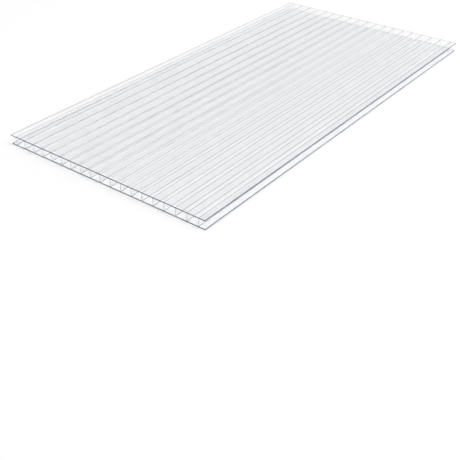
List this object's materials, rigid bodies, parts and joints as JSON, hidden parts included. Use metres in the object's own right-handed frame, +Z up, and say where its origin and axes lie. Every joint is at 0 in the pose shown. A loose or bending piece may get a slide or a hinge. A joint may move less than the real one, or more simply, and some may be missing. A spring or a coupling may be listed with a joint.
{
  "type": "multiwall polycarbonate sheet",
  "caption": "Flat clear multiwall polycarbonate sheet: flat skins joined by upright ribs into long air cells, open at both cut ends, for greenhouse glazing and light roofs.",
  "frame": {"origin": "middle of the underside, on the surface that the sheet lies on", "axes": "+X along the cells and the long edges, +Y across the cells, +Z up through the upper skin"},
  "size_m": [1.22, 0.61, 0.025],
  "materials": {
    "clear_polycarbonate": "gloss"
  },
  "bodies": {
    "root": {"twinwall_sheet": "clear_polycarbonate"}
  },
  "joints": []
}
